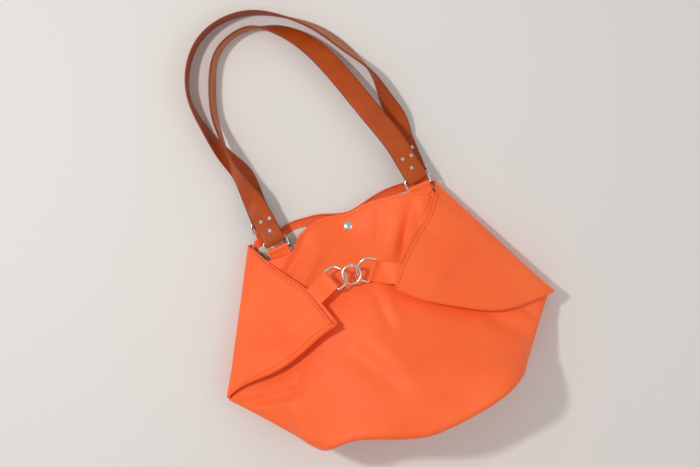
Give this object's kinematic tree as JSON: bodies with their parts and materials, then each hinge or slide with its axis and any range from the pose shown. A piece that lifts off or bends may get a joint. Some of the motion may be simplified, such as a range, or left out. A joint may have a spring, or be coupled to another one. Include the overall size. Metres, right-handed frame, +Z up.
{
  "type": "trapeze bag",
  "caption": "Soft hand bag lying on its back: mouth snapped shut, both top corners folded over the front and linked by rings, strap handles on D-rings.",
  "frame": {"origin": "on the back panel's flat outer face, near the middle of the body", "axes": "+Z up from the table through the back to the front, +Y towards the handles, +X to the viewer's right"},
  "size_m": [0.3894, 0.5108, 0.1143],
  "materials": {
    "shell": "matte",
    "tab": "matte",
    "lining": "matte",
    "board": "matte",
    "strap": "satin",
    "metal": "polished"
  },
  "bodies": {
    "back": {"back_panel": "shell", "lining_back": "lining", "rim_facing_back": "shell", "back_left_tab": "tab", "back_right_tab": "tab", "snap_stud": "metal", "snap_back_cap": "metal"},
    "front": {"front_panel": "shell", "lining_front": "lining", "rim_facing_front": "shell", "base_panel": "shell", "base_board": "board", "left_wing": "shell", "right_wing": "shell", "left_closure_tab": "tab", "right_closure_tab": "tab", "front_left_tab": "tab", "front_right_tab": "tab", "snap_socket": "metal", "snap_front_cap": "metal", "left_d_ring": "metal", "right_d_ring": "metal", "link_ring": "metal", "gate_pin": "metal"},
    "front_handle": {"front_handle": "strap", "front_left_ring": "metal", "front_right_ring": "metal", "front_left_rivets": "metal", "front_right_rivets": "metal"},
    "back_handle": {"back_handle": "strap", "back_left_ring": "metal", "back_right_ring": "metal", "back_left_rivets": "metal", "back_right_rivets": "metal"},
    "gate": {"link_gate": "metal"}
  },
  "joints": [
    {"name": "mouth_open", "type": "hinge", "parent": "back", "child": "front", "pos_m": [0, -0.104, 0.0033], "axis": [1, 0, 0], "range_deg": [0, 10]},
    {"name": "front_handle_swing", "type": "hinge", "parent": "front", "child": "front_handle", "pos_m": [-0.095, 0.1225, 0.027], "axis": [0.9963, 0.0854, 0], "range_deg": [0, 125]},
    {"name": "back_handle_swing", "type": "hinge", "parent": "back", "child": "back_handle", "pos_m": [-0.103, 0.147, 0.008], "axis": [1, 0, 0], "range_deg": [0, 75]},
    {"name": "gate_open", "type": "hinge", "parent": "front", "child": "gate", "pos_m": [-0.02234, 0.07828, 0.05987], "axis": [-0.0698, 0.0359, 0.9969], "range_deg": [0, 20]}
  ],
  "couplings": [
    {"joint": "back_handle_swing", "follows": "front_handle_swing", "ratio": 0.6}
  ]
}
